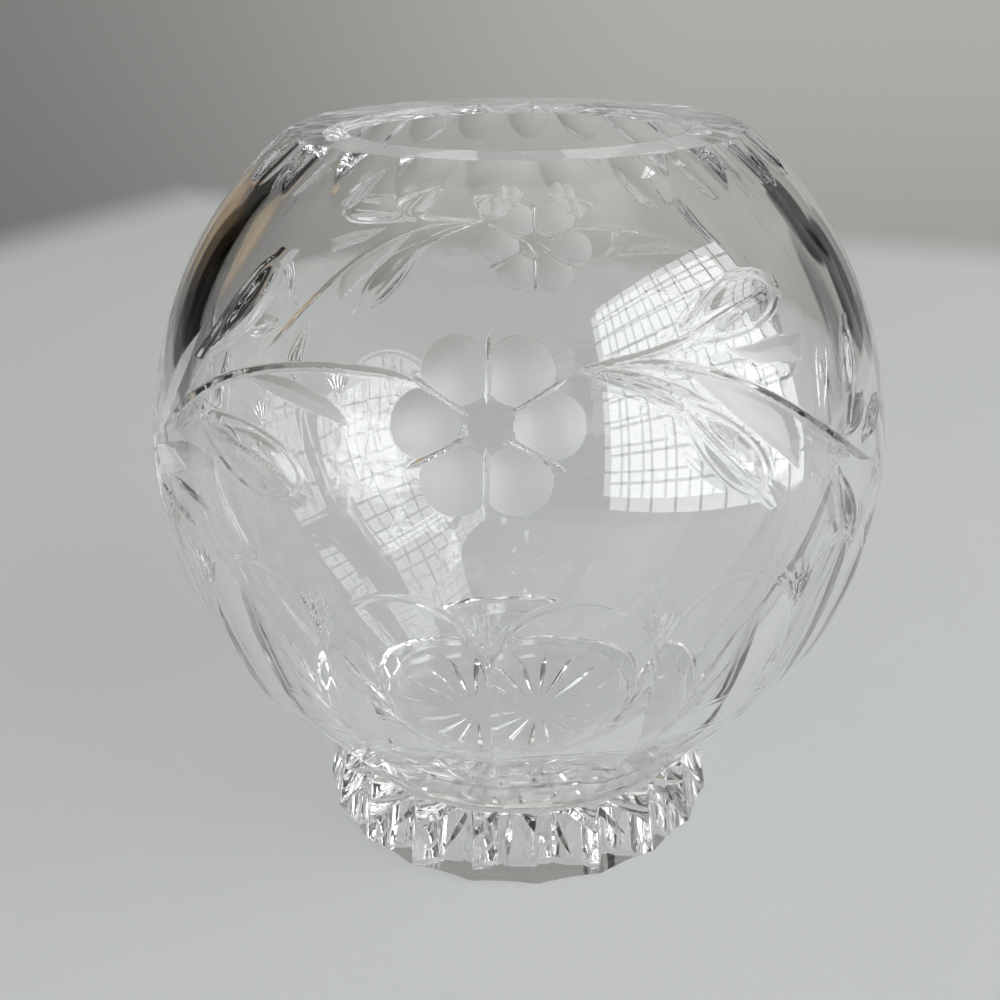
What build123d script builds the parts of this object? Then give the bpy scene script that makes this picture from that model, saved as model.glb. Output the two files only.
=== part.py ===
# Footed crystal rose bowl: a thick blown bowl, a thin joining ring and a heavy fluted foot.
# Millimetres, +Z up, the foot rests on Z = 0 and the flower faces -Y.
import os
from math import asin, atan2, cos, degrees, radians, sin, sqrt, tan
from build123d import *

# Overall shape
overall_height = 138.0
bowl_radius = 70.0
equator_height = 78.0
rim_radius = 41.26
base_radius = 39.73
wall = 6.0

# Solid base and its inside floor
foot_height = 15.2
ring_height = 1.6
floor_thickness = 2.7
floor_radius = 28.0
floor_round = 2.5

# Rim flutes ground into the shoulder under the flat lip
rim_flutes = 24
rim_flute_drop = 7.0
rim_flute_wheel = 25.0
rim_flute_sink = 1.0

# Tall flat panels on the lower half, measured down from the equator, with a second flat under each
panels = 16
panel_drop = 0.5
cusp_drop = 12.0
crease_drop = 35.0
crease_sink = 0.7
base_flat_radius = 38.2

# Foot: flared block with hollow flutes and a star cut underneath
foot_radius = 41.5
foot_top_radius = 38.8
foot_flutes = 20
foot_flute_wheel = 40.0
foot_bevel = 0.8
ring_step = 1.0
ring_bulge = 0.4
star_rays = 16
star_wheel = 60.0
star_depth = 1.2
star_centre = 18.0
star_flare = 38.0

# Flowers: round satin petals with polished mitre cuts between them
flowers = 2
flower_rise = 26.3
petals = 6
petal_reach = 9.3
petal_wheel = 12.0
petal_depth = 1.35
mitre_reach = 8.4
mitre_length = 10.4
mitre_width = 1.7
mitre_depth = 0.8

# Sprays: stems are runs of mitre cuts, leaves are single olive cuts. Each cut has its azimuth from
# the flower in degrees, its rise above the equator, its turn from level in degrees, length, width, depth
stem_cuts = [
    (19.7, 33.7, -2.0, 18.0, 1.6, 0.7),
    (36.5, 28.4, -28.0, 22.0, 1.6, 0.7),
    (54.8, 15.0, -32.0, 25.0, 1.6, 0.7),
    (20.5, 29.6, -18.0, 15.0, 1.4, 0.6),
    (-19.0, 32.6, 2.0, 18.0, 1.6, 0.7),
    (-35.7, 29.5, 19.0, 19.0, 1.6, 0.7),
    (-52.0, 18.0, 41.0, 27.0, 1.6, 0.7),
]
leaf_cuts = [
    (37.8, 38.9, 15.0, 20.0, 8.4, 1.3),
    (39.5, 32.2, -3.0, 19.0, 4.6, 1.0),
    (37.6, 23.4, -44.0, 22.0, 5.2, 1.1),
    (30.5, 19.6, -49.0, 20.0, 8.2, 1.3),
    (60.0, 25.5, 65.0, 15.0, 5.0, 1.1),
    (66.0, 15.5, 12.0, 11.0, 4.6, 1.0),
    (55.5, 3.8, -62.0, 14.0, 4.4, 1.0),
    (-28.0, 27.0, -10.0, 22.0, 5.2, 1.1),
    (-45.5, 38.5, 62.0, 18.0, 5.4, 1.2),
    (-38.6, 37.0, 58.0, 16.0, 4.0, 1.0),
    (-34.7, 16.8, -14.0, 23.0, 9.0, 1.3),
    (-59.5, 23.0, 63.0, 21.0, 4.6, 1.1),
    (-56.0, 8.0, -20.0, 12.0, 4.6, 1.0),
    (-64.0, 4.5, -55.0, 15.0, 4.4, 1.0),
    (90.0, 19.0, 75.0, 19.0, 5.4, 1.1),
    (82.5, 5.0, -58.0, 15.0, 4.6, 1.0),
    (97.5, 5.0, 58.0, 15.0, 4.6, 1.0),
]
# Sprigs: fine mitre cuts that fan up from where two panels meet
sprig_turns = [70.0, 90.0, 110.0]
sprig_reach = 6.2
sprig_length = 7.2
sprig_width = 0.9
sprig_depth = 0.45

# Clearance by which the cutting wheels run past the glass
overrun = 4.0

full_turn = 360.0
half_turn = 180.0
base_height = foot_height + ring_height
floor_height = base_height + floor_thickness
shoulder_rise = overall_height - equator_height

# The blown body's side is one arc through the base, the equator and the rim
side_points = [(base_radius, base_height), (bowl_radius, equator_height), (rim_radius, overall_height)]
side = ThreePointArc(*side_points)
side_arc = side.radius
side_centre = side.arc_center


def skin(rise):
    """Slope and radius of the blown body at a rise above the equator."""
    slope = asin((equator_height + rise - side_centre.Y) / side_arc)
    return slope, side_centre.X + side_arc * cos(slope)


def seat(azimuth, rise, turn, lift):
    """Plane over the body's skin: X along the cut, Z outward, raised by the lift."""
    slope, radius = skin(rise)
    around = radians(azimuth)
    outward = Vector(cos(slope) * sin(around), -cos(slope) * cos(around), sin(slope))
    level = Vector(cos(around), sin(around), 0)
    rising = outward.cross(level)
    spot = Vector(radius * sin(around), -radius * cos(around), equator_height + rise)
    along = level * cos(radians(turn)) + rising * sin(radians(turn))
    return Plane(origin=spot + outward * lift, x_dir=along, z_dir=outward)


def spot_near(azimuth, rise, reach, bearing):
    """Azimuth and rise of a place a short way over the skin from another, at a bearing from level."""
    slope, radius = skin(rise)
    new_slope = slope + reach * sin(radians(bearing)) / side_arc
    new_rise = side_centre.Y + side_arc * sin(new_slope) - equator_height
    shift = degrees(reach * cos(radians(bearing)) / skin(new_rise)[1])
    return azimuth + shift, new_rise


def olive(place, length, width, depth):
    """Pointed wheel cut: a spindle of the wanted width where it meets the skin."""
    body = (width ** 2 / 4 + depth ** 2) / (2 * depth)
    with BuildPart(place.offset(body - depth)) as cut:
        with BuildSketch(place.offset(body - depth)):
            with BuildLine():
                ThreePointArc((-length / 2, 0), (0, body), (length / 2, 0))
                Line((length / 2, 0), (-length / 2, 0))
            make_face()
        revolve(axis=Axis(place.offset(body - depth).origin, place.x_dir))
    return cut.part


# Rim flute wheel: its lowest line runs from inside the lip to the skin at the flute's end
flute_low = Vector(skin(shoulder_rise - rim_flute_drop)[1], 0, overall_height - rim_flute_drop)
flute_high = Vector(rim_radius - rim_flute_sink, 0, overall_height)
flute_run = flute_high - flute_low
flute_out = Vector(flute_run.Z, 0, -flute_run.X).normalized()
flute_middle = (flute_low + flute_high) * 0.5
with BuildPart(Plane(origin=flute_middle + flute_out * rim_flute_wheel, z_dir=flute_run)) as rim_wheel:
    Cylinder(rim_flute_wheel, flute_run.length + 2 * overrun)

# Panel wheel: flat across, straight down to the cusp and bent in from there, with the base flat below the crease
panel_half = half_turn / panels
panel_top = equator_height - panel_drop
cusp_height = equator_height - cusp_drop
crease_height = equator_height - crease_drop
panel_mid = skin(-cusp_drop)[1] * cos(radians(panel_half))
crease_mid = (skin(-crease_drop)[1] - crease_sink) * cos(radians(panel_half))
panel_lean = (bowl_radius - panel_mid) / (panel_top - cusp_height)
base_lean = (crease_mid - base_flat_radius) / (crease_height - base_height)
with BuildPart() as panel_wheel:
    with BuildSketch(Plane.XZ):
        with BuildLine():
            Line((bowl_radius + panel_lean * overrun, panel_top + overrun), (panel_mid, cusp_height))
            TangentArc((panel_mid, cusp_height), (crease_mid, crease_height), tangent=(-panel_lean, -1))
            Polyline(
                (crease_mid, crease_height),
                (base_flat_radius - base_lean * overrun, base_height - overrun),
                (bowl_radius + overrun, base_height - overrun),
                (bowl_radius + overrun, panel_top + overrun),
                (bowl_radius + panel_lean * overrun, panel_top + overrun),
            )
        make_face()
    extrude(amount=bowl_radius * tan(radians(panel_half)) + overrun / 4, both=True)

# Foot flute wheel: leans with the foot's flare
foot_half = half_turn / foot_flutes
hollow_low = (foot_radius * sin(radians(foot_half))) ** 2 / (2 * foot_flute_wheel)
hollow_high = (foot_top_radius * sin(radians(foot_half))) ** 2 / (2 * foot_flute_wheel)
hollow_foot = Vector(foot_radius * cos(radians(foot_half)) - hollow_low, 0, 0)
hollow_top = Vector(foot_top_radius * cos(radians(foot_half)) - hollow_high, 0, foot_height)
hollow_run = hollow_top - hollow_foot
hollow_out = Vector(hollow_run.Z, 0, -hollow_run.X).normalized()
hollow_middle = (hollow_foot + hollow_top) * 0.5
with BuildPart(Plane(origin=hollow_middle + hollow_out * foot_flute_wheel, z_dir=hollow_run)) as foot_wheel:
    Cylinder(foot_flute_wheel, hollow_run.length + 2 * overrun)

# Star wheel: the arc of a V-edged disc that runs out at both ends of each ray
star_sweep = atan2(sqrt(2 * star_wheel * star_depth) + overrun, star_wheel)
with BuildPart() as star_disc:
    with BuildSketch(Plane(origin=(0, 0, 0), x_dir=(0, 1, 0), z_dir=(cos(star_sweep), 0, sin(star_sweep)))):
        with BuildLine():
            Polyline(
                (0, star_wheel),
                (overrun * tan(radians(star_flare)), star_wheel - overrun),
                (-overrun * tan(radians(star_flare)), star_wheel - overrun),
                close=True,
            )
        make_face()
    revolve(axis=Axis.Y, revolution_arc=2 * degrees(star_sweep))

# Flower and spray cuts over the whole bowl, kept by kind because cuts of one kind stand clear of each other
cuts = {"petals": [], "mitres": [], "stems": [], "leaves": [], "sprigs": []}
for flower in range(flowers):
    facing = flower * full_turn / flowers
    for petal in range(petals):
        bearing = petal * full_turn / petals
        petal_at = spot_near(facing, flower_rise, petal_reach, bearing)
        with BuildPart(seat(*petal_at, 0, petal_wheel - petal_depth)) as petal_cut:
            Sphere(petal_wheel)
        cuts["petals"].append(petal_cut.part)
        between = bearing + half_turn / petals
        mitre_at = spot_near(facing, flower_rise, mitre_reach, between)
        cuts["mitres"].append(olive(seat(*mitre_at, between, 0), mitre_length, mitre_width, mitre_depth))
    for kind, spray in [("stems", stem_cuts), ("leaves", leaf_cuts)]:
        for azimuth, rise, turn, length, width, depth in spray:
            cuts[kind].append(olive(seat(facing + azimuth, rise, turn, 0), length, width, depth))

for panel in range(panels):
    for turn in sprig_turns:
        sprig_at = spot_near(panel * full_turn / panels, -cusp_drop, sprig_reach, turn)
        cuts["sprigs"].append(olive(seat(*sprig_at, turn, 0), sprig_length, sprig_width, sprig_depth))

# Bowl: blown body, one wall thick at the lip and thicker at the floor, cut all over the outside
mouth_radius = side_centre.X + sqrt((side_arc - wall) ** 2 - (overall_height - side_centre.Y) ** 2)
with BuildPart() as bowl:
    with BuildSketch(Plane.XZ) as bowl_half:
        with BuildLine():
            Line((0, base_height), (base_radius, base_height))
            ThreePointArc(*side_points)
            Line((rim_radius, overall_height), (mouth_radius, overall_height))
            ThreePointArc(
                (mouth_radius, overall_height),
                (bowl_radius - wall, equator_height),
                (floor_radius, floor_height),
            )
            Line((floor_radius, floor_height), (0, floor_height))
            Line((0, floor_height), (0, base_height))
        make_face()
        floor_corner = bowl_half.vertices().sort_by_distance((floor_radius, 0, floor_height))[0]
        fillet(floor_corner, floor_round)
    revolve(axis=Axis.Z)
    with PolarLocations(0, rim_flutes):
        add(rim_wheel.part, mode=Mode.SUBTRACT)
    with PolarLocations(0, panels, start_angle=panel_half):
        add(panel_wheel.part, mode=Mode.SUBTRACT)
    for kind in cuts.values():
        add(kind, mode=Mode.SUBTRACT)
bowl.part.label = "bowl"

# Joining ring: the flattened button of glass between bowl and foot
ring_radius = base_flat_radius - ring_step
with BuildPart() as ring:
    with BuildSketch(Plane.XZ):
        with BuildLine():
            Polyline((ring_radius, foot_height), (0, foot_height), (0, base_height), (ring_radius, base_height))
            ThreePointArc(
                (ring_radius, base_height),
                (ring_radius + ring_bulge, (foot_height + base_height) / 2),
                (ring_radius, foot_height),
            )
        make_face()
    revolve(axis=Axis.Z)
ring.part.label = "joining_ring"

# Foot: heavy flared block, hollow fluted round its side, star cut below
with BuildPart() as foot:
    with BuildSketch(Plane.XZ):
        with BuildLine():
            Polyline(
                (0, 0),
                (foot_radius - foot_bevel, 0),
                (foot_radius, foot_bevel),
                (foot_top_radius, foot_height),
                (0, foot_height),
                close=True,
            )
        make_face()
    revolve(axis=Axis.Z)
    with PolarLocations(0, foot_flutes):
        add(foot_wheel.part, mode=Mode.SUBTRACT)
    with PolarLocations(star_centre, star_rays):
        with Locations((0, 0, star_depth - star_wheel)):
            add(star_disc.part, mode=Mode.SUBTRACT)
foot.part.label = "foot"

os.makedirs("parts", exist_ok=True)
export_step(bowl.part, "parts/bowl.step")
export_step(ring.part, "parts/joining_ring.step")
export_step(foot.part, "parts/foot.step")
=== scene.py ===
import math

import bpy
import numpy as np
from mathutils import Matrix, Vector


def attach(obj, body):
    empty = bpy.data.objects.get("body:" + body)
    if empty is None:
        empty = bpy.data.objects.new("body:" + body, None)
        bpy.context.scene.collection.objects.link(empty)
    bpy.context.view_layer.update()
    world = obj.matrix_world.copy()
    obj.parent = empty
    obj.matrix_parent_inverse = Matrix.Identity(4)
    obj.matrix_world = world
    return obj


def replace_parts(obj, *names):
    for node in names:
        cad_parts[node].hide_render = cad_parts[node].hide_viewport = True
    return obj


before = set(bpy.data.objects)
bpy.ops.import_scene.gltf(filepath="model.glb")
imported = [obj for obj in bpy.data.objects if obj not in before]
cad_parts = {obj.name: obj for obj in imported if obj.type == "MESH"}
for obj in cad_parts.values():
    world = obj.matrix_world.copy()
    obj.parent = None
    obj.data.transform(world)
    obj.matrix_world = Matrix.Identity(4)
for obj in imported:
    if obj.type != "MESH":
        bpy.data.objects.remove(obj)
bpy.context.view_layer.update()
scene = bpy.context.scene

# Bowl, outside: a thick ball of lead crystal, blown, then cut on wheels and polished. Sixteen tall
# flats stand round its lower half with a sprig over each ridge, two flowers with leafy sprays are
# cut into the shoulder, and the petals and broad leaves keep the wheel's satin finish.
EQUATOR, WAIST, SIDE_ARC = 78.0, 70.0, 77.0
BASE_TOP, RIM_TOP, SHOULDER_TOP = 16.8, 138.0, 131.0
PANELS, CUSP, CREASE, BASE_FLAT = 16, 66.0, 43.0, 38.2
PANEL_RUNOUT, PANEL_CLEAR, CREASE_SINK = 0.5, 3.0, 0.7
RIM_FLUTES, RIM_WHEEL, RIM_SINK = 24, 25.0, 1.0
RING_EDGE = 37.2
PANEL_STEP, HALF_TURN = 360.0 / PANELS, 180.0

# Polished edges in mm and ridges in degrees, then depth and width of the fine lines along edges
EDGE_ROUND, PANEL_RIDGE, RIM_RIDGE = 0.06, 0.2, 0.3
ARCH_LINE, ARCH_LINE_WIDTH = 0.12, 0.09
CREASE_LINE, CREASE_LINE_WIDTH = 0.15, 0.4
LEAF_LINE, LEAF_LINE_WIDTH = 0.25, 0.24


def side_radius(z):
    """The blown side is one arc, widest at the equator."""
    return WAIST - SIDE_ARC + np.sqrt(SIDE_ARC ** 2 - (z - EQUATOR) ** 2)


def side_length(rise):
    """Distance over the side from the equator to a rise above it."""
    return SIDE_ARC * np.arcsin(np.clip(rise / SIDE_ARC, -1, 1))


def wrapped(angle, period):
    """The angle taken to within half a period of zero."""
    return (angle + period / 2) % period - period / 2


def fine_line(away, depth, width):
    """Depth of a fine line, falling off as a bell with the distance away from it."""
    return depth * np.exp(-(away / width) ** 2)


def soft_min(first, second, line):
    """The lesser of two radii, with the edge between them polished round and a fine line left along it."""
    rounded = (first + second - np.sqrt((first - second) ** 2 + EDGE_ROUND ** 2)) / 2
    return rounded - fine_line(first - second, line, ARCH_LINE_WIDTH)


def soft_ridge(angle, period, edge):
    """Angle from the middle of a flat or flute, held back near the ridge to polish the ridge round."""
    half = period / 2
    return half - np.sqrt((half - np.abs(wrapped(angle, period))) ** 2 + edge ** 2)


def arc_through(first, second, third):
    """Centre and radius of the circle through three places."""
    places = np.array([first, second, third], float)
    chords, halfway = np.diff(places, axis=0), (places[1:] + places[:-1]) / 2
    centre = np.linalg.solve(chords, (chords * halfway).sum(1))
    return centre, float(np.linalg.norm(places[0] - centre))


panel_cos = math.cos(math.radians(PANEL_STEP / 2))
panel_at_cusp = side_radius(CUSP) * panel_cos
panel_at_crease = (side_radius(CREASE) - CREASE_SINK) * panel_cos
panel_lean = (WAIST - panel_at_cusp) / (EQUATOR - PANEL_RUNOUT - CUSP)
panel_run = np.array([panel_at_crease - panel_at_cusp, CREASE - CUSP])
panel_in = np.array([-1.0, panel_lean]) / math.hypot(1, panel_lean)
panel_arc = float(panel_run @ panel_run / (2 * panel_run @ panel_in))
panel_centre = np.array([panel_at_cusp, CUSP]) + panel_in * panel_arc


def panel_radius(az, z):
    """Flats: straight across, straight down to the cusp, an arc from there in to the crease, and a
    straight lean below it. Clear of the equator there are none."""
    arc = panel_centre[0] + np.sqrt(panel_arc ** 2 - (np.clip(z, CREASE, CUSP) - panel_centre[1]) ** 2)
    middle = np.where(z > CUSP, panel_at_cusp + panel_lean * (z - CUSP), arc)
    leaning = panel_at_crease + (z - CREASE) * (panel_at_crease - BASE_FLAT) / (CREASE - BASE_TOP)
    across = np.cos(np.radians(soft_ridge(az - PANEL_STEP / 2, PANEL_STEP, PANEL_RIDGE)))
    return np.where(z > EQUATOR + PANEL_CLEAR, 2 * WAIST, np.where(z < CREASE, leaning, middle) / across)


flute_foot = np.array([side_radius(SHOULDER_TOP), SHOULDER_TOP])
flute_head = np.array([side_radius(RIM_TOP) - RIM_SINK, RIM_TOP])
flute_out = np.array([flute_head[1] - flute_foot[1], flute_foot[0] - flute_head[0]])
flute_out = flute_out / np.linalg.norm(flute_out)


def flute_radius(az, z):
    """Rim flutes: hollows of one wheel, deepest at the lip and running out on the shoulder."""
    turn = np.radians(soft_ridge(az, 360.0 / RIM_FLUTES, RIM_RIDGE))
    bottom = flute_head[0] - (z - RIM_TOP) * flute_out[1] / flute_out[0]
    swept = (bottom * np.tan(turn)) ** 2 / (2 * RIM_WHEEL * flute_out[0])
    return (bottom + swept) / np.cos(turn)


PETAL_DEPTH, PETAL_CURVE = 1.35, 0.0488
LEAF_SWELL, LEAF_FULLEST = 0.8, 0.42
VEIN_HALF, VEIN_END, VEIN_FADE = 0.35, 0.92, 6
STEM_SAMPLES, STEM_BENDS, STEM_TAPER = 200, 5, 5
NO_CUT = -9.0


def petal(x, y):
    """Round dish left by the edge of a small wheel."""
    return PETAL_DEPTH - PETAL_CURVE * (x ** 2 + y ** 2)


def mitre(turn, length, width, depth):
    """V groove that tapers to a point at both ends."""
    c, s = math.cos(math.radians(turn)), math.sin(math.radians(turn))

    def shape(x, y):
        along, across = x * c + y * s, y * c - x * s
        half = width / 2 * (1 - (2 * along / length) ** 2)
        return 2 * depth / width * (half - np.abs(across))
    return shape


def leaf(turn, length, upper, lower, bend, depth):
    """Leaf-shaped scoop with a vein: depth falls off as the square across, to a point at the stalk and
    round at the tip."""
    c, s = math.cos(math.radians(turn)), math.sin(math.radians(turn))

    def shape(x, y):
        along, across = np.clip((x * c + y * s) / length + 0.5, 0, 1), y * c - x * s
        over = across - 4 * bend * along * (1 - along)
        full = along ** LEAF_SWELL * np.sqrt(1 - along) / LEAF_FULLEST
        scoop = depth * (full ** 2 - (over / np.where(over > 0, upper, lower)) ** 2)
        vein = np.clip(VEIN_HALF - np.abs(over), 0, None) * np.clip((VEIN_END - along) * VEIN_FADE, 0, 1)
        return np.where(scoop > 0, scoop + vein, scoop)
    return shape


def facet(points, floor, slope):
    """Flat-bottomed cut inside a convex outline: it slopes in from every edge to an even floor."""
    run = np.roll(points, -1, 0) - points
    run = run / np.linalg.norm(run, axis=1)[:, None]

    def shape(x, y):
        inside = [r[0] * (y - p[1]) - r[1] * (x - p[0]) for p, r in zip(points, run)]
        return np.minimum(slope * np.min(inside, axis=0), floor)
    return shape


def stem(points, half, depth):
    """V groove along a smooth line through the points, thinning out towards its ends."""
    fine = np.linspace(points[0, 0], points[-1, 0], STEM_SAMPLES)
    bends = np.polyfit(points[:, 0], points[:, 1], min(STEM_BENDS, len(points) - 1))
    line, lean = np.polyval(bends, fine), np.polyval(np.polyder(bends), fine)

    def shape(x, y):
        across = (y - np.interp(x, fine, line)) / np.sqrt(1 + np.interp(x, fine, lean) ** 2)
        ends = np.minimum(x - points[0, 0], points[-1, 0] - x)
        return depth / half * (half * np.clip(ends / STEM_TAPER, -1, 1) - np.abs(across))
    return shape


def local(points, az, rise):
    """Azimuth and rise turned into millimetres over the skin from a centre."""
    points = np.array(points, float)
    over = np.radians(points[:, 0] - az) * side_radius(EQUATOR + rise)
    return np.stack((over, side_length(points[:, 1]) - side_length(rise)), 1)


cuts = []


def add_cut(az, rise, reach, shape, satin=0.0, line=0.0, period=HALF_TURN):
    """Notes a cut: azimuth and rise of its middle, how far it reaches in mm, its shape, 1 for satin, the
    depth of the fine line round it, and its repeat in degrees."""
    cuts.append((az, rise, reach, shape, satin, line, period))


# Flowers: six satin petals with a polished mitre between each two
FLOWER_RISE, PETALS, PETAL_OUT, RAY_OUT = 26.3, 6, 9.2, 8.4
RAY_LENGTH, RAY_WIDTH, RAY_DEPTH = 10.4, 1.7, 0.8


def round_flower(out, turn):
    """Azimuth and rise of a place that lies out from the flower's middle, over the skin."""
    x, y = out * math.cos(math.radians(turn)), out * math.sin(math.radians(turn))
    rise = SIDE_ARC * math.sin((side_length(FLOWER_RISE) + y) / SIDE_ARC)
    return math.degrees(x / side_radius(EQUATOR + rise)), rise


for k in range(PETALS):
    turn = 360 / PETALS * k
    add_cut(*round_flower(PETAL_OUT, turn), reach=7, shape=petal, satin=1.0)
    turn += 180 / PETALS
    shape = mitre(turn, RAY_LENGTH, RAY_WIDTH, RAY_DEPTH)
    add_cut(*round_flower(RAY_OUT, turn), reach=8, shape=shape)

# Stems: polished lines through places given as azimuth and rise
STEM_HALF, STEM_DEPTH = 0.75, 0.6
stems = [
    [(11.4, 33.6), (17.8, 33.9), (22.1, 33.7), (27.9, 32.5),
     (35.4, 29.2), (45.3, 22.6), (56.5, 13.5), (64.0, 8.8)],
    [(11.6, 33.8), (20.0, 34.6), (30.0, 36.9)],
    [(11.6, 33.3), (19.0, 31.2), (27.5, 26.0)],
    [(11.6, 33.5), (18.0, 32.6), (25.0, 30.0), (31.0, 26.6)],
    [(-59.0, 13.0), (-49.9, 21.8), (-43.8, 25.9), (-38.5, 28.6),
     (-32.7, 30.5), (-27.5, 31.7), (-16.3, 32.5), (-8.5, 31.4)],
    [(-62.0, 3.0), (-53.0, 2.6), (-45.3, 1.1)],
]
for points in stems:
    az, rise = np.mean(points, axis=0)
    add_cut(az, rise, reach=40, shape=stem(local(points, az, rise), STEM_HALF, STEM_DEPTH))

# Clear leaves: azimuth, rise, turn, length, width above and below the vein, bend and depth
leaves = [
    (37.75, 38.9, 15.0, 19.6, 4.3, 4.0, 0.6, 1.3),
    (31.8, 20.3, -47.5, 20.0, 4.0, 3.5, 0.0, 1.3),
    (60.0, 25.5, 65.0, 15.0, 2.6, 2.6, 0.0, 1.1),
    (66.0, 15.5, 12.0, 11.0, 2.4, 2.4, 0.0, 1.0),
    (55.5, 3.8, -62.0, 14.0, 2.3, 2.3, 0.0, 1.0),
    (-42.9, 38.0, 60.0, 19.4, 3.4, 3.6, -1.2, 1.2),
    (-34.8, 17.3, -14.0, 24.2, 4.6, 4.3, 0.0, 1.3),
    (-64.0, 4.5, -55.0, 15.0, 2.3, 2.3, 0.0, 1.0),
    (90.0, 19.0, 75.0, 19.0, 2.7, 2.7, 0.0, 1.1),
    (82.5, 5.0, -58.0, 15.0, 2.4, 2.4, 0.0, 1.0),
    (97.5, 5.0, 58.0, 15.0, 2.4, 2.4, 0.0, 1.0),
]
for az, rise, turn, length, upper, lower, bend, depth in leaves:
    shape = leaf(turn, length, upper, lower, bend, depth)
    add_cut(az, rise, reach=length / 2 + 1, shape=shape, line=LEAF_LINE)

# Broad satin leaves: the corners of each outline as azimuth and rise
FACET_FLOOR, FACET_SLOPE = 0.7, 0.45
satin_leaves = [
    [(28.1, 33.2), (37.9, 31.6), (42.0, 29.9), (45.7, 27.8), (48.0, 30.4),
     (49.2, 33.4), (45.0, 34.2), (40.5, 34.2), (34.0, 34.0)],
    [(27.8, 31.8), (31.0, 28.0), (34.4, 24.2), (38.8, 19.6), (43.8, 14.6),
     (44.6, 19.0), (43.6, 23.6), (41.0, 26.2), (35.0, 29.7)],
    [(-38.5, 28.6), (-26.3, 26.4), (-18.2, 24.8), (-20.0, 26.8),
     (-22.5, 28.2), (-27.8, 29.7), (-33.0, 29.8)],
    [(-61.9, 11.2), (-58.5, 14.5), (-55.5, 20.0), (-53.2, 26.0),
     (-52.2, 31.8), (-56.0, 27.0), (-59.6, 19.0)],
    [(-67.7, 7.1), (-61.9, 4.0), (-55.0, 7.0), (-48.3, 10.2), (-53.2, 12.2), (-58.0, 11.2)],
]
for points in satin_leaves:
    az, rise = np.mean(points, axis=0)
    shape = facet(local(points, az, rise), FACET_FLOOR, FACET_SLOPE)
    add_cut(az, rise, reach=18, shape=shape, satin=1.0)

# Sprigs: a fan of five mitres over each ridge, from one foot to tips at azimuth and rise
SPRIG_FOOT, SPRIG_MIDDLE, BLADE_WIDTH, BLADE_DEPTH = -10.2, -6.0, 1.3, 0.5
for tip_az, tip_rise in [(-3.0, -2.5), (-1.4, -1.9), (0.2, -1.6), (1.6, -2.4), (2.8, -3.6)]:
    foot, tip = local([(0.0, SPRIG_FOOT), (tip_az, tip_rise)], 0.0, SPRIG_MIDDLE)
    along = tip - foot
    turn, length = math.degrees(math.atan2(along[1], along[0])), float(np.linalg.norm(along))
    shape = mitre(turn, length, BLADE_WIDTH, BLADE_DEPTH)
    add_cut(tip_az / 2, (tip_rise + SPRIG_FOOT) / 2, reach=6, shape=shape, period=PANEL_STEP)


def cut_depth(az, z):
    """The deepest of all cuts at each place, with its edge polished round and a fine line left
    along it on the clear leaves, and 1 where that cut is satin."""
    depth, satin, line = np.full(az.shape, NO_CUT), np.zeros(az.shape), np.zeros(az.shape)
    length = side_length(z - EQUATOR)
    for centre_az, centre_rise, reach, shape, finish, edging, period in cuts:
        x = np.radians(wrapped(az - centre_az, period)) * side_radius(EQUATOR + centre_rise)
        y = length - side_length(centre_rise)
        near = (np.abs(x) < reach) & (np.abs(y) < reach)
        found = shape(x[near], y[near])
        deeper = found > depth[near]
        depth[near] = np.where(deeper, found, depth[near])
        satin[near] = np.where(deeper & (found > 0), finish, satin[near])
        line[near] = np.where(deeper, edging, line[near])
    rounded = (depth + np.sqrt(depth ** 2 + EDGE_ROUND ** 2)) / 2
    return rounded + fine_line(depth, line, LEAF_LINE_WIDTH), satin


def outside(az, z):
    """Skin of the bowl: the least of side, flats and rim flutes, with a fine line at the crease, sunk
    along the side's normal by the cuts."""
    flats = panel_radius(az, z) - fine_line(z - CREASE, CREASE_LINE, CREASE_LINE_WIDTH)
    radius = soft_min(soft_min(side_radius(z), flats, ARCH_LINE), flute_radius(az, z), 0.0)
    depth, satin = cut_depth(az, z)
    tilt = np.arcsin((z - EQUATOR) / SIDE_ARC)
    return radius - depth * np.cos(tilt), z - depth * np.sin(tilt), satin


def lower_skin(az, s):
    """Flats and sprigs: s is the height over the joint, and below 0 the underside drawn in to the ring."""
    radius, z, satin = outside(az, BASE_TOP + np.maximum(s, 0))
    return radius + np.minimum(s, 0) * (radius - RING_EDGE), z, satin


def shoulder_skin(az, s):
    """Shoulder with flowers and sprays: s is the angle up the side's arc in degrees."""
    return outside(az, EQUATOR + SIDE_ARC * np.sin(np.radians(s)))


NORMAL_STEP = 0.004


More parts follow.
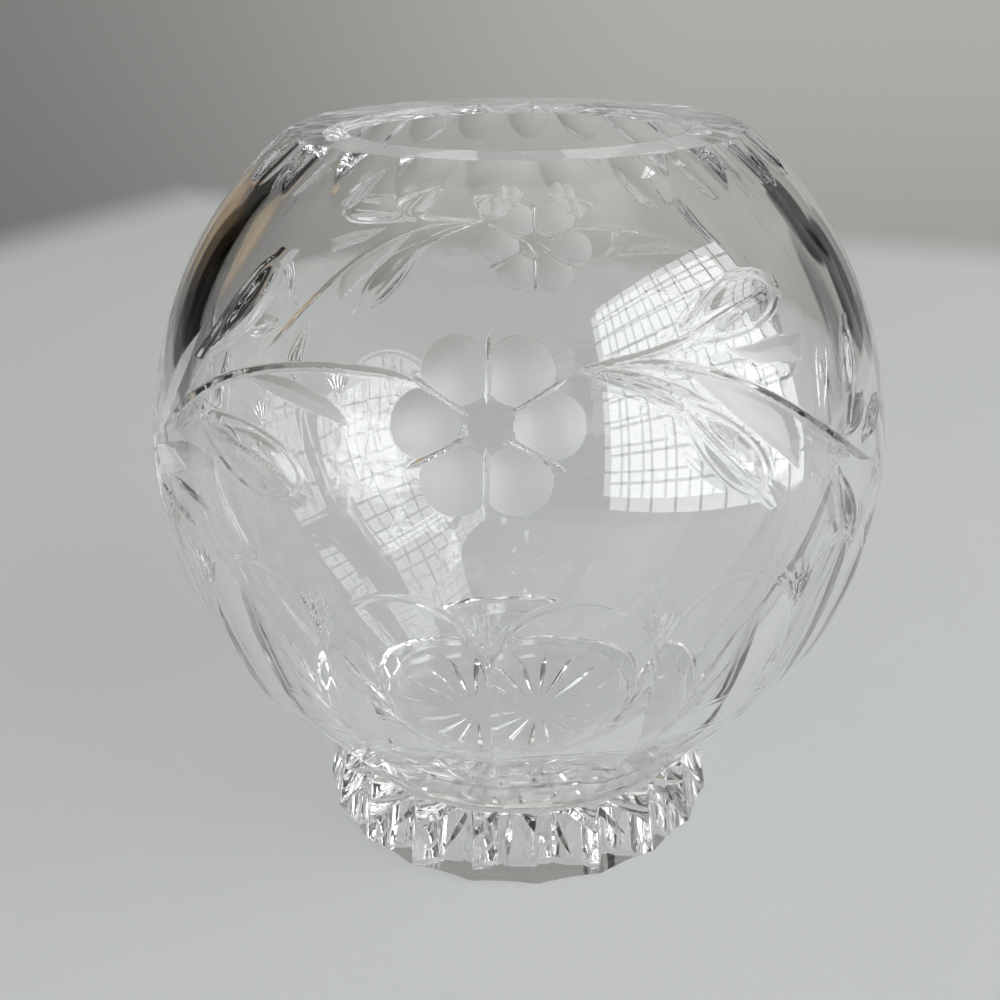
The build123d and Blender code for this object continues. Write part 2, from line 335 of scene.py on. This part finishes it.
def skin(name, profile, azimuths, rows, cap=None):
    """Glass skin as a grid of azimuth by place along the profile, in metres. Normals come from small
    steps of the same formula, so neighbouring skins shade as one; cap closes a row onto the axis."""
    closed = azimuths[-1] - azimuths[0] > HALF_TURN
    az, s = np.meshgrid(azimuths, rows)

    def place(a, b):
        radius, z = profile(a, b)[:2]
        turn = np.radians(a)
        return np.stack((radius * np.sin(turn), -radius * np.cos(turn), z), -1)

    satin = profile(az, s)[2].reshape(-1)
    where = place(az, s) / 1000
    around = place(az + NORMAL_STEP, s) - place(az - NORMAL_STEP, s)
    along = place(az, s + NORMAL_STEP) - place(az, s - NORMAL_STEP)
    normal = np.cross(around, along)
    normal /= np.maximum(np.linalg.norm(normal, axis=-1), 1e-12)[..., None]
    points, normals = where.reshape(-1, 3), normal.reshape(-1, 3)
    tall, wide = az.shape
    number = np.arange(tall * wide).reshape(tall, wide)
    right = np.roll(number, -1, 1) if closed else number[:, 1:]
    left = number if closed else number[:, :-1]
    faces = np.stack((left[:-1], right[:-1], right[1:], left[1:]), -1).reshape(-1, 4).tolist()
    u, v = np.linspace(0, 1, wide + closed), np.linspace(0, 1, tall)
    u_low, v_low = np.meshgrid(u[:-1], v[:-1])
    u_high, v_high = np.meshgrid(u[1:], v[1:])
    corners = np.stack((u_low, v_low, u_high, v_low, u_high, v_high, u_low, v_high), -1).reshape(-1, 2)
    if cap is not None:
        end, order, up = (0, [0, 1, 2], -1) if cap == "first" else (-1, [1, 0, 2], 1)
        fan = np.stack((np.roll(number[end], -1), number[end], np.full(wide, tall * wide)), 1)
        faces += fan[:, order].tolist()
        tips = np.stack((u[1:], u[:-1], (u[1:] + u[:-1]) / 2), 1)[:, order]
        corners = np.vstack((corners, np.stack((tips, np.full(tips.shape, v[end])), -1).reshape(-1, 2)))
        points = np.vstack((points, where[end].mean(0) * (0, 0, 1)))
        normals = np.vstack((normals, [0, 0, up]))
        satin = np.append(satin, 0)
    mesh = bpy.data.meshes.new(name)
    mesh.from_pydata(points, [], faces)
    mesh.uv_layers.new(name="OFBake").data.foreach_set("uv", corners.astype(np.float32).ravel())
    mesh.attributes.new("satin", "FLOAT", "POINT").data.foreach_set("value", satin.astype(np.float32))
    mesh.polygons.foreach_set("use_smooth", np.ones(len(mesh.polygons), bool))
    mesh.normals_split_custom_set_from_vertices(normals)
    mesh.materials.append(crystal)
    piece = bpy.data.objects.new(name, mesh)
    scene.collection.objects.link(piece)
    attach(piece, "root")
    return piece


def combine(tree, operation, first, second):
    """Math node of a tree that joins two outputs; a plain number is written in instead."""
    node = tree.nodes.new("ShaderNodeMath")
    node.operation = operation
    for socket, value in zip(node.inputs, (first, second)):
        if isinstance(value, float):
            socket.default_value = value
        else:
            tree.links.new(value, socket)
    return node.outputs["Value"]


# Crystal: colourless, faintly smudged where polished and satin where the wheel's finish was left. Part of
# the light goes straight through, so that the glass throws a pale shadow
CLEAR_SHARE = 0.78
crystal = bpy.data.materials.new("crystal")
crystal.use_nodes = True
nodes, links = crystal.node_tree.nodes, crystal.node_tree.links
glass = nodes["Principled BSDF"]
glass.inputs["Base Color"].default_value = (0.99, 0.99, 0.985, 1)
glass.inputs["Transmission Weight"].default_value = 1.0
glass.inputs["Metallic"].default_value = 0.0
glass.inputs["IOR"].default_value = 1.54
finish = nodes.new("ShaderNodeAttribute")
finish.attribute_name = "satin"
coords = nodes.new("ShaderNodeTexCoord")
smudge = nodes.new("ShaderNodeTexNoise")
smudge.inputs["Scale"].default_value = 45.0
smudge.inputs["Detail"].default_value = 4.0
links.new(coords.outputs["Object"], smudge.inputs["Vector"])
polish = nodes.new("ShaderNodeMapRange")
polish.inputs["From Min"].default_value = 0.5
polish.inputs["From Max"].default_value = 0.85
polish.inputs["To Max"].default_value = 0.04
links.new(smudge.outputs["Fac"], polish.inputs["Value"])
ground = nodes.new("ShaderNodeMapRange")
ground.inputs["To Min"].default_value = 0.52
ground.inputs["To Max"].default_value = 0.64
links.new(smudge.outputs["Fac"], ground.inputs["Value"])
dulled = nodes.new("ShaderNodeMix")
links.new(finish.outputs["Fac"], dulled.inputs["Factor"])
links.new(polish.outputs["Result"], dulled.inputs["A"])
links.new(ground.outputs["Result"], dulled.inputs["B"])
links.new(dulled.outputs["Result"], glass.inputs["Roughness"])
path = nodes.new("ShaderNodeLightPath").outputs
passing = combine(crystal.node_tree, "MAXIMUM", path["Is Shadow Ray"], path["Is Diffuse Ray"])
clear = nodes.new("ShaderNodeBsdfTransparent")
lit = nodes.new("ShaderNodeMixShader")
links.new(combine(crystal.node_tree, "MULTIPLY", passing, CLEAR_SHARE), lit.inputs["Fac"])
links.new(glass.outputs["BSDF"], lit.inputs[1])
links.new(clear.outputs["BSDF"], lit.inputs[2])
links.new(lit.outputs["Shader"], nodes["Material Output"].inputs["Surface"])

# Columns of the grid stand closer at the ridges, and its rows closer at the crease
START, TURN_STEP, QUARTER = -45.0, 0.25, 90.0
ridges = np.arange(START, START + 360.0, PANEL_STEP)
beside = [ridges + shift for shift in (0.06, 0.14, PANEL_STEP - 0.14, PANEL_STEP - 0.06)]
turns = np.unique(np.round(np.concatenate([np.arange(START, START + 360.0, TURN_STEP)] + beside), 6))
lower_rows = np.concatenate((
    [-1.0, -0.03, 0.0, 0.06], np.linspace(4, 24, 4),
    [25.2, 25.5, 25.7, 25.85, 26.0, 26.1, 26.2, 26.3, 26.4, 26.55, 26.7, 26.9, 27.2],
    np.linspace(28, 46, 17), np.linspace(46.3, EQUATOR - BASE_TOP, 78)))
shoulder_rows = np.linspace(0, math.degrees(math.asin((SHOULDER_TOP - EQUATOR) / SIDE_ARC)), 260)
for k, name in enumerate(("front", "right", "back", "left")):
    start = START + k * QUARTER
    part = np.append(turns[(turns > start - 0.01) & (turns < start + QUARTER - 0.01)], start + QUARTER)
    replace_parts(skin("bowl_flats_" + name, lower_skin, part, lower_rows), "bowl")
    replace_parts(skin("bowl_shoulder_" + name, shoulder_skin, part, shoulder_rows), "bowl")

# Bowl, lip and inside: the same crystal. The lip is ground flat and polished over the scalloped ends
# of the rim flutes, and the blown hollow runs down to a rounded corner and a small flat floor.
WALL, FLOOR, FLOOR_RADIUS, FLOOR_ROUND, CORNER_LINE = 6.0, 19.5, 28.0, 2.5, 0.22
mouth_radius = WAIST - SIDE_ARC + math.sqrt((SIDE_ARC - WALL) ** 2 - (RIM_TOP - EQUATOR) ** 2)
inner, inner_arc = arc_through((mouth_radius, RIM_TOP), (WAIST - WALL, EQUATOR), (FLOOR_RADIUS, FLOOR))
corner_up = FLOOR + FLOOR_ROUND - inner[1]
corner_r = inner[0] + math.sqrt((inner_arc - FLOOR_ROUND) ** 2 - corner_up ** 2)
corner_turn = math.atan2(corner_up, corner_r - inner[0])
mouth_turn = math.asin((RIM_TOP - inner[1]) / inner_arc)


def inside_skin(az, s):
    """Up the rim flutes (s to 1), in over the lip (to 2), down the hollow's arc (to 3), round the
    corner with the fine line pressed there (to 4) and over the floor to the middle (to 5)."""
    radius, z, satin = outside(az, SHOULDER_TOP + np.clip(s, 0, 1) * (RIM_TOP - SHOULDER_TOP))
    down = mouth_turn + (corner_turn - mouth_turn) * np.clip(s - 2, 0, 1)
    hollow = inner[0] + inner_arc * np.cos(down)
    radius = np.where(s > 2, hollow, radius + np.clip(s - 1, 0, 1) * (hollow - radius))
    z = np.where(s > 2, inner[1] + inner_arc * np.sin(down), z)
    bend = corner_turn + (-math.pi / 2 - corner_turn) * np.clip(s - 3, 0, 1)
    pressed = FLOOR_ROUND + CORNER_LINE * np.sin(np.pi * np.clip(s - 3, 0, 1)) ** 2
    radius = np.where(s > 3, corner_r + pressed * np.cos(bend), radius)
    z = np.where(s > 3, FLOOR + FLOOR_ROUND + pressed * np.sin(bend), z)
    return np.where(s > 4, corner_r * (5 - s), radius), z, satin


inside_rows = np.concatenate((
    np.linspace(0, 0.97, 12), [0.99, 1.0, 1.02, 1.5, 1.98, 2.0, 2.003],
    np.linspace(2.02, 3, 29), np.linspace(3.08, 4, 12), [4.2, 4.5, 4.8, 4.97]))
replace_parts(skin("bowl_inside", inside_skin, turns, inside_rows, cap="last"), "bowl")

# Joining ring: a thin button of the same crystal, pressed flat while hot between the bowl and the
# foot, so that only its rounded edge shows and the glass is one piece all through.
FOOT_TOP, RING_BULGE = 15.2, 0.4


def ring_skin(az, s):
    """Rounded edge between the foot's top and the bowl's underside."""
    z = FOOT_TOP + s * (BASE_TOP - FOOT_TOP)
    return RING_EDGE + 4 * RING_BULGE * s * (1 - s), z, np.zeros(az.shape)


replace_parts(skin("joining_ring_edge", ring_skin, turns, np.linspace(0, 1, 9)), "joining_ring")

# Foot: a heavy pressed block of crystal, ground into twenty hollow flutes round its flared side and
# cut underneath with a star of sixteen mitre rays that shows through the base of the bowl.
FOOT_RADIUS, FOOT_TOP_RADIUS, FOOT_BEVEL = 41.5, 38.8, 0.8
FOOT_FLUTES, FOOT_WHEEL, FOOT_RIDGE = 20, 40.0, 0.45
STAR_DEPTH, STAR_CENTRE, STAR_WHEEL, STAR_FLARE = 1.2, 18.0, 60.0, math.tan(math.radians(38))
foot_half = math.radians(180.0 / FOOT_FLUTES)


def foot_radius(az, z):
    """Hollow flutes that lean with the flare and meet in ridges polished round."""
    turn = np.radians(soft_ridge(az, 360.0 / FOOT_FLUTES, FOOT_RIDGE))
    low, high = [r * math.cos(foot_half) - (r * math.sin(foot_half)) ** 2 / (2 * FOOT_WHEEL)
                 for r in (FOOT_RADIUS, FOOT_TOP_RADIUS)]
    bottom = low + (high - low) * z / FOOT_TOP
    return (bottom + (bottom * np.tan(turn)) ** 2 / (2 * FOOT_WHEEL)) / np.cos(turn)


def foot_skin(az, s):
    """Out over the star-cut underside (s to 1), up the bevel (to 2) and the fluted side (to 3), in
    over the top (to 4)."""
    z = np.where(s < 2, FOOT_BEVEL * np.clip(s - 1, 0, 1),
                 FOOT_BEVEL + (FOOT_TOP - FOOT_BEVEL) * np.clip(s - 2, 0, 1))
    radius = foot_radius(az, np.maximum(z, FOOT_BEVEL)) - np.maximum(FOOT_BEVEL - z, 0)
    radius = radius + np.clip(s - 3, 0, 1) * (RING_EDGE - radius)
    radius = radius * np.clip(s, 0, 1)
    ray = STAR_DEPTH - (radius - STAR_CENTRE) ** 2 / (2 * STAR_WHEEL)
    aside = radius * np.abs(np.sin(np.radians(wrapped(az, PANEL_STEP))))
    star = np.maximum(ray - aside / STAR_FLARE, 0)
    return radius, np.where(s < 1, star, z), np.zeros(az.shape)


foot_rows = np.concatenate((
    np.linspace(0.03, 0.12, 3), np.linspace(0.14, 0.74, 34),
    [0.85, 0.95, 0.995, 1.0, 1.05, 1.5, 1.95, 2.0, 2.01],
    np.linspace(2.1, 2.9, 9), [2.99, 3.0, 3.05, 4.0]))
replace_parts(skin("foot_fluted", foot_skin, turns, foot_rows, cap="first"), "foot")

# Table: a plain pale matt top seen from close by. It fades out behind, to the left and to the right,
# as the photo's blurred table edges do. It stands still and isn't part of the object.
TABLE_SIZE, TABLE_DROP, TABLE_BLUR = 6.0, 0.0003, 0.05


def ramp_along(tree, place, way, start, end, low, high):
    """Soft ramp from low to high as a place or a direction goes along a way."""
    along = tree.nodes.new("ShaderNodeVectorMath")
    along.operation = "DOT_PRODUCT"
    along.inputs[1].default_value = way
    tree.links.new(place, along.inputs[0])
    ramp = tree.nodes.new("ShaderNodeMapRange")
    ramp.interpolation_type = "SMOOTHSTEP"
    for socket, value in zip(("From Min", "From Max", "To Min", "To Max"), (start, end, low, high)):
        ramp.inputs[socket].default_value = value
    tree.links.new(along.outputs["Value"], ramp.inputs["Value"])
    return ramp.outputs["Result"]


bpy.ops.mesh.primitive_plane_add(size=TABLE_SIZE, location=(0, 0, -TABLE_DROP))
table = bpy.context.object
table.name = "table"
matt = bpy.data.materials.new("table_top")
matt.use_nodes = True
nodes, links = matt.node_tree.nodes, matt.node_tree.links
top = nodes["Principled BSDF"]
top.inputs["Roughness"].default_value = 0.75
coords = nodes.new("ShaderNodeTexCoord")
mottle = nodes.new("ShaderNodeTexNoise")
mottle.inputs["Scale"].default_value = 6.0
links.new(coords.outputs["Object"], mottle.inputs["Vector"])
tone = nodes.new("ShaderNodeMix")
tone.data_type = "RGBA"
tone.inputs["A"].default_value = (0.52, 0.545, 0.54, 1)
tone.inputs["B"].default_value = (0.56, 0.575, 0.565, 1)
links.new(mottle.outputs["Fac"], tone.inputs["Factor"])
links.new(tone.outputs["Result"], top.inputs["Base Color"])
beyond = 0.0
for way, reach in [((0.297, 0.955, 0), 0.56), ((-0.937, 0.349, 0), 0.50), ((0.95, -0.3, 0), 0.50)]:
    fade = ramp_along(matt.node_tree, coords.outputs["Object"], way,
                      reach - TABLE_BLUR, reach + TABLE_BLUR, 0.0, 1.0)
    beyond = combine(matt.node_tree, "MAXIMUM", beyond, fade)
gone = nodes.new("ShaderNodeBsdfTransparent")
ends = nodes.new("ShaderNodeMixShader")
links.new(beyond, ends.inputs["Fac"])
links.new(top.outputs["BSDF"], ends.inputs[1])
links.new(gone.outputs["BSDF"], ends.inputs[2])
links.new(ends.outputs["Shader"], nodes["Material Output"].inputs["Surface"])
table.data.materials.append(matt)

# Room and light: grey walls with dark shapes and a brown one, seen only directly, in and through the
# glass, while all else is lit evenly by the world. One broad barred window stands to the right and a
# small one to the left front.
EVEN_LEVEL = 0.54
world = bpy.data.worlds.new("room")
scene.world = world
world.use_nodes = True
nodes, links = world.node_tree.nodes, world.node_tree.links
coords = nodes.new("ShaderNodeTexCoord")


def towards(way, start, end, low, high):
    """Ramp from low to high as the direction turns towards a way."""
    return ramp_along(world.node_tree, coords.outputs["Generated"], Vector(way).normalized(),
                      start, end, low, high)


room = towards((-0.75, 0.66, -0.05), 0.60, 1.05, 0.43, 0.15)
for factor in (
    towards((0, 0, 1), -0.5, 0.0, 0.5, 1.0),                    # darker below
    towards((-0.695, 0.719, 0.0), 0.978, 0.984, 1.0, 0.03),     # dark upright shape behind to the left
    towards((-0.695, 0.719, 0.28), 0.978, 0.984, 1.0, 0.05),
    towards((-0.695, 0.719, 0.6), 0.978, 0.984, 1.0, 0.08),
    towards((-0.53, 0.848, 0.0), 0.993, 0.997, 1.0, 2.4),       # bright wood beside it
    towards((-0.86, 0.45, 0.25), 0.93, 0.98, 1.0, 0.3),         # shade further left
    towards((0.52, 0.85, -0.05), 0.988, 0.992, 1.0, 0.02),      # dark shape behind to the right
    towards((0.55, 0.83, 0.2), 0.988, 0.992, 1.0, 0.05),
    towards((0.84, 0.52, 0.10), 0.95, 0.985, 1.0, 0.3),         # shade further right
    towards((0.05, -0.9, 0.42), 0.45, 0.85, 1.0, 0.1),          # whoever holds the camera
    towards((0, 0, 1), 0.22, 0.42, 1.0, 0.65),                  # upper walls
    towards((0, 0, 1), 0.80, 0.95, 1.0, 4.0),                   # bright ceiling
):
    room = combine(world.node_tree, "MULTIPLY", room, factor)
path = nodes.new("ShaderNodeLightPath").outputs
seen = path["Is Camera Ray"]
for kind in ("Is Glossy Ray", "Is Transmission Ray"):
    seen = combine(world.node_tree, "MAXIMUM", seen, path[kind])
level = nodes.new("ShaderNodeMix")
level.inputs["A"].default_value = EVEN_LEVEL
links.new(seen, level.inputs["Factor"])
links.new(room, level.inputs["B"])
wood = nodes.new("ShaderNodeMix")
wood.data_type = "RGBA"
wood.inputs["A"].default_value = (1.0, 0.985, 0.95, 1)
wood.inputs["B"].default_value = (1.0, 0.74, 0.46, 1)
links.new(towards((-0.53, 0.848, 0.0), 0.990, 0.996, 0.0, 1.0), wood.inputs["Factor"])
tinted = nodes.new("ShaderNodeMix")
tinted.data_type = "RGBA"
tinted.blend_type = "MULTIPLY"
tinted.inputs["Factor"].default_value = 1.0
links.new(wood.outputs["Result"], tinted.inputs["A"])
links.new(level.outputs["Result"], tinted.inputs["B"])
links.new(tinted.outputs["Result"], nodes["Background"].inputs["Color"])

# Windows: name, way, distance, height of the middle, width, height, roll, panes each way and radiance
BAR_WIDTH, BAR_DEPTH, BAR_AHEAD = 0.022, 0.01, 0.04
cube = np.array([(x, y, z) for x in (-1, 1) for y in (-1, 1) for z in (-1, 1)]) / 2
sides = np.array([(0, 1, 3, 2), (4, 6, 7, 5), (0, 4, 5, 1), (2, 3, 7, 6), (0, 2, 6, 4), (1, 5, 7, 3)])
iron = bpy.data.materials.new("window_bars")
iron.use_nodes = True
iron.node_tree.nodes["Principled BSDF"].inputs["Base Color"].default_value = (0.05, 0.05, 0.055, 1)
for name, way, distance, middle, wide, tall, roll, panes, radiance in [
    ("window_right", (0.90, -0.44, 0), 1.6, 0.86, 2.0, 2.05, -7.0, 9, 5.4),
    ("window_left", (-0.64, -0.77, 0), 1.5, 0.18, 0.6, 0.7, 0.0, 2, 2.0),
]:
    lamp = bpy.data.lights.new(name, "AREA")
    lamp.shape, lamp.size, lamp.size_y = "RECTANGLE", wide, tall
    lamp.energy = radiance * math.pi * wide * tall
    lamp.color = (0.96, 0.98, 1.0)
    window = bpy.data.objects.new(name, lamp)
    window.location = Vector(way).normalized() * distance + Vector((0, 0, middle))
    upright = (-Vector(way)).to_track_quat("-Z", "Y").to_matrix()
    window.rotation_euler = (upright @ Matrix.Rotation(math.radians(roll), 3, "Z")).to_euler()
    window.visible_camera = False
    scene.collection.objects.link(window)
    points, faces = [], []
    for k in range(1, panes):
        for size, place in [
            ((BAR_WIDTH, tall, BAR_DEPTH), (wide * (k / panes - 0.5), 0, -BAR_AHEAD)),
            ((wide, BAR_WIDTH, BAR_DEPTH), (0, tall * (k / panes - 0.5), -BAR_AHEAD)),
        ]:
            faces += (sides + len(points)).tolist()
            points += (cube * size + place).tolist()
    mesh = bpy.data.meshes.new(name + "_bars")
    mesh.from_pydata(points, [], faces)
    mesh.materials.append(iron)
    bars = bpy.data.objects.new(name + "_bars", mesh)
    bars.location, bars.rotation_euler = window.location, window.rotation_euler
    bars.visible_camera = False
    scene.collection.objects.link(bars)

# Camera: close over the table, looking a little down on the bowl. Its place and turns come from the
# pinhole camera that was fitted to the photo, in metres and radians.
CAMERA_BACK, CAMERA_UP = 0.240, 0.1696
lens = bpy.data.cameras.new("camera")
lens.sensor_width, lens.lens = 36.0, 46.44
lens.clip_start, lens.clip_end = 0.01, 50.0
camera = bpy.data.objects.new("camera", lens)
scene.collection.objects.link(camera)
scene.camera = camera
pitch, roll, yaw, spin = 0.4145, -0.0085, -0.015, math.radians(3.9)
ahead = Vector((math.sin(yaw) * math.cos(pitch), math.cos(yaw) * math.cos(pitch), -math.sin(pitch)))
level_right = Vector((math.cos(yaw), -math.sin(yaw), 0))
level_up = level_right.cross(ahead)
right = level_right * math.cos(roll) + level_up * math.sin(roll)
above = level_up * math.cos(roll) - level_right * math.sin(roll)
facing = Matrix((right, above, -ahead)).transposed().to_4x4()
standing = Matrix.Translation((0, -CAMERA_BACK, CAMERA_UP))
camera.matrix_world = Matrix.Rotation(spin, 4, "Z") @ standing @ facing

scene.view_settings.view_transform = "Standard"
scene.cycles.max_bounces = 24
scene.cycles.transmission_bounces = 24
scene.cycles.glossy_bounces = 16
scene.cycles.transparent_max_bounces = 24
scene.cycles.use_denoising = True
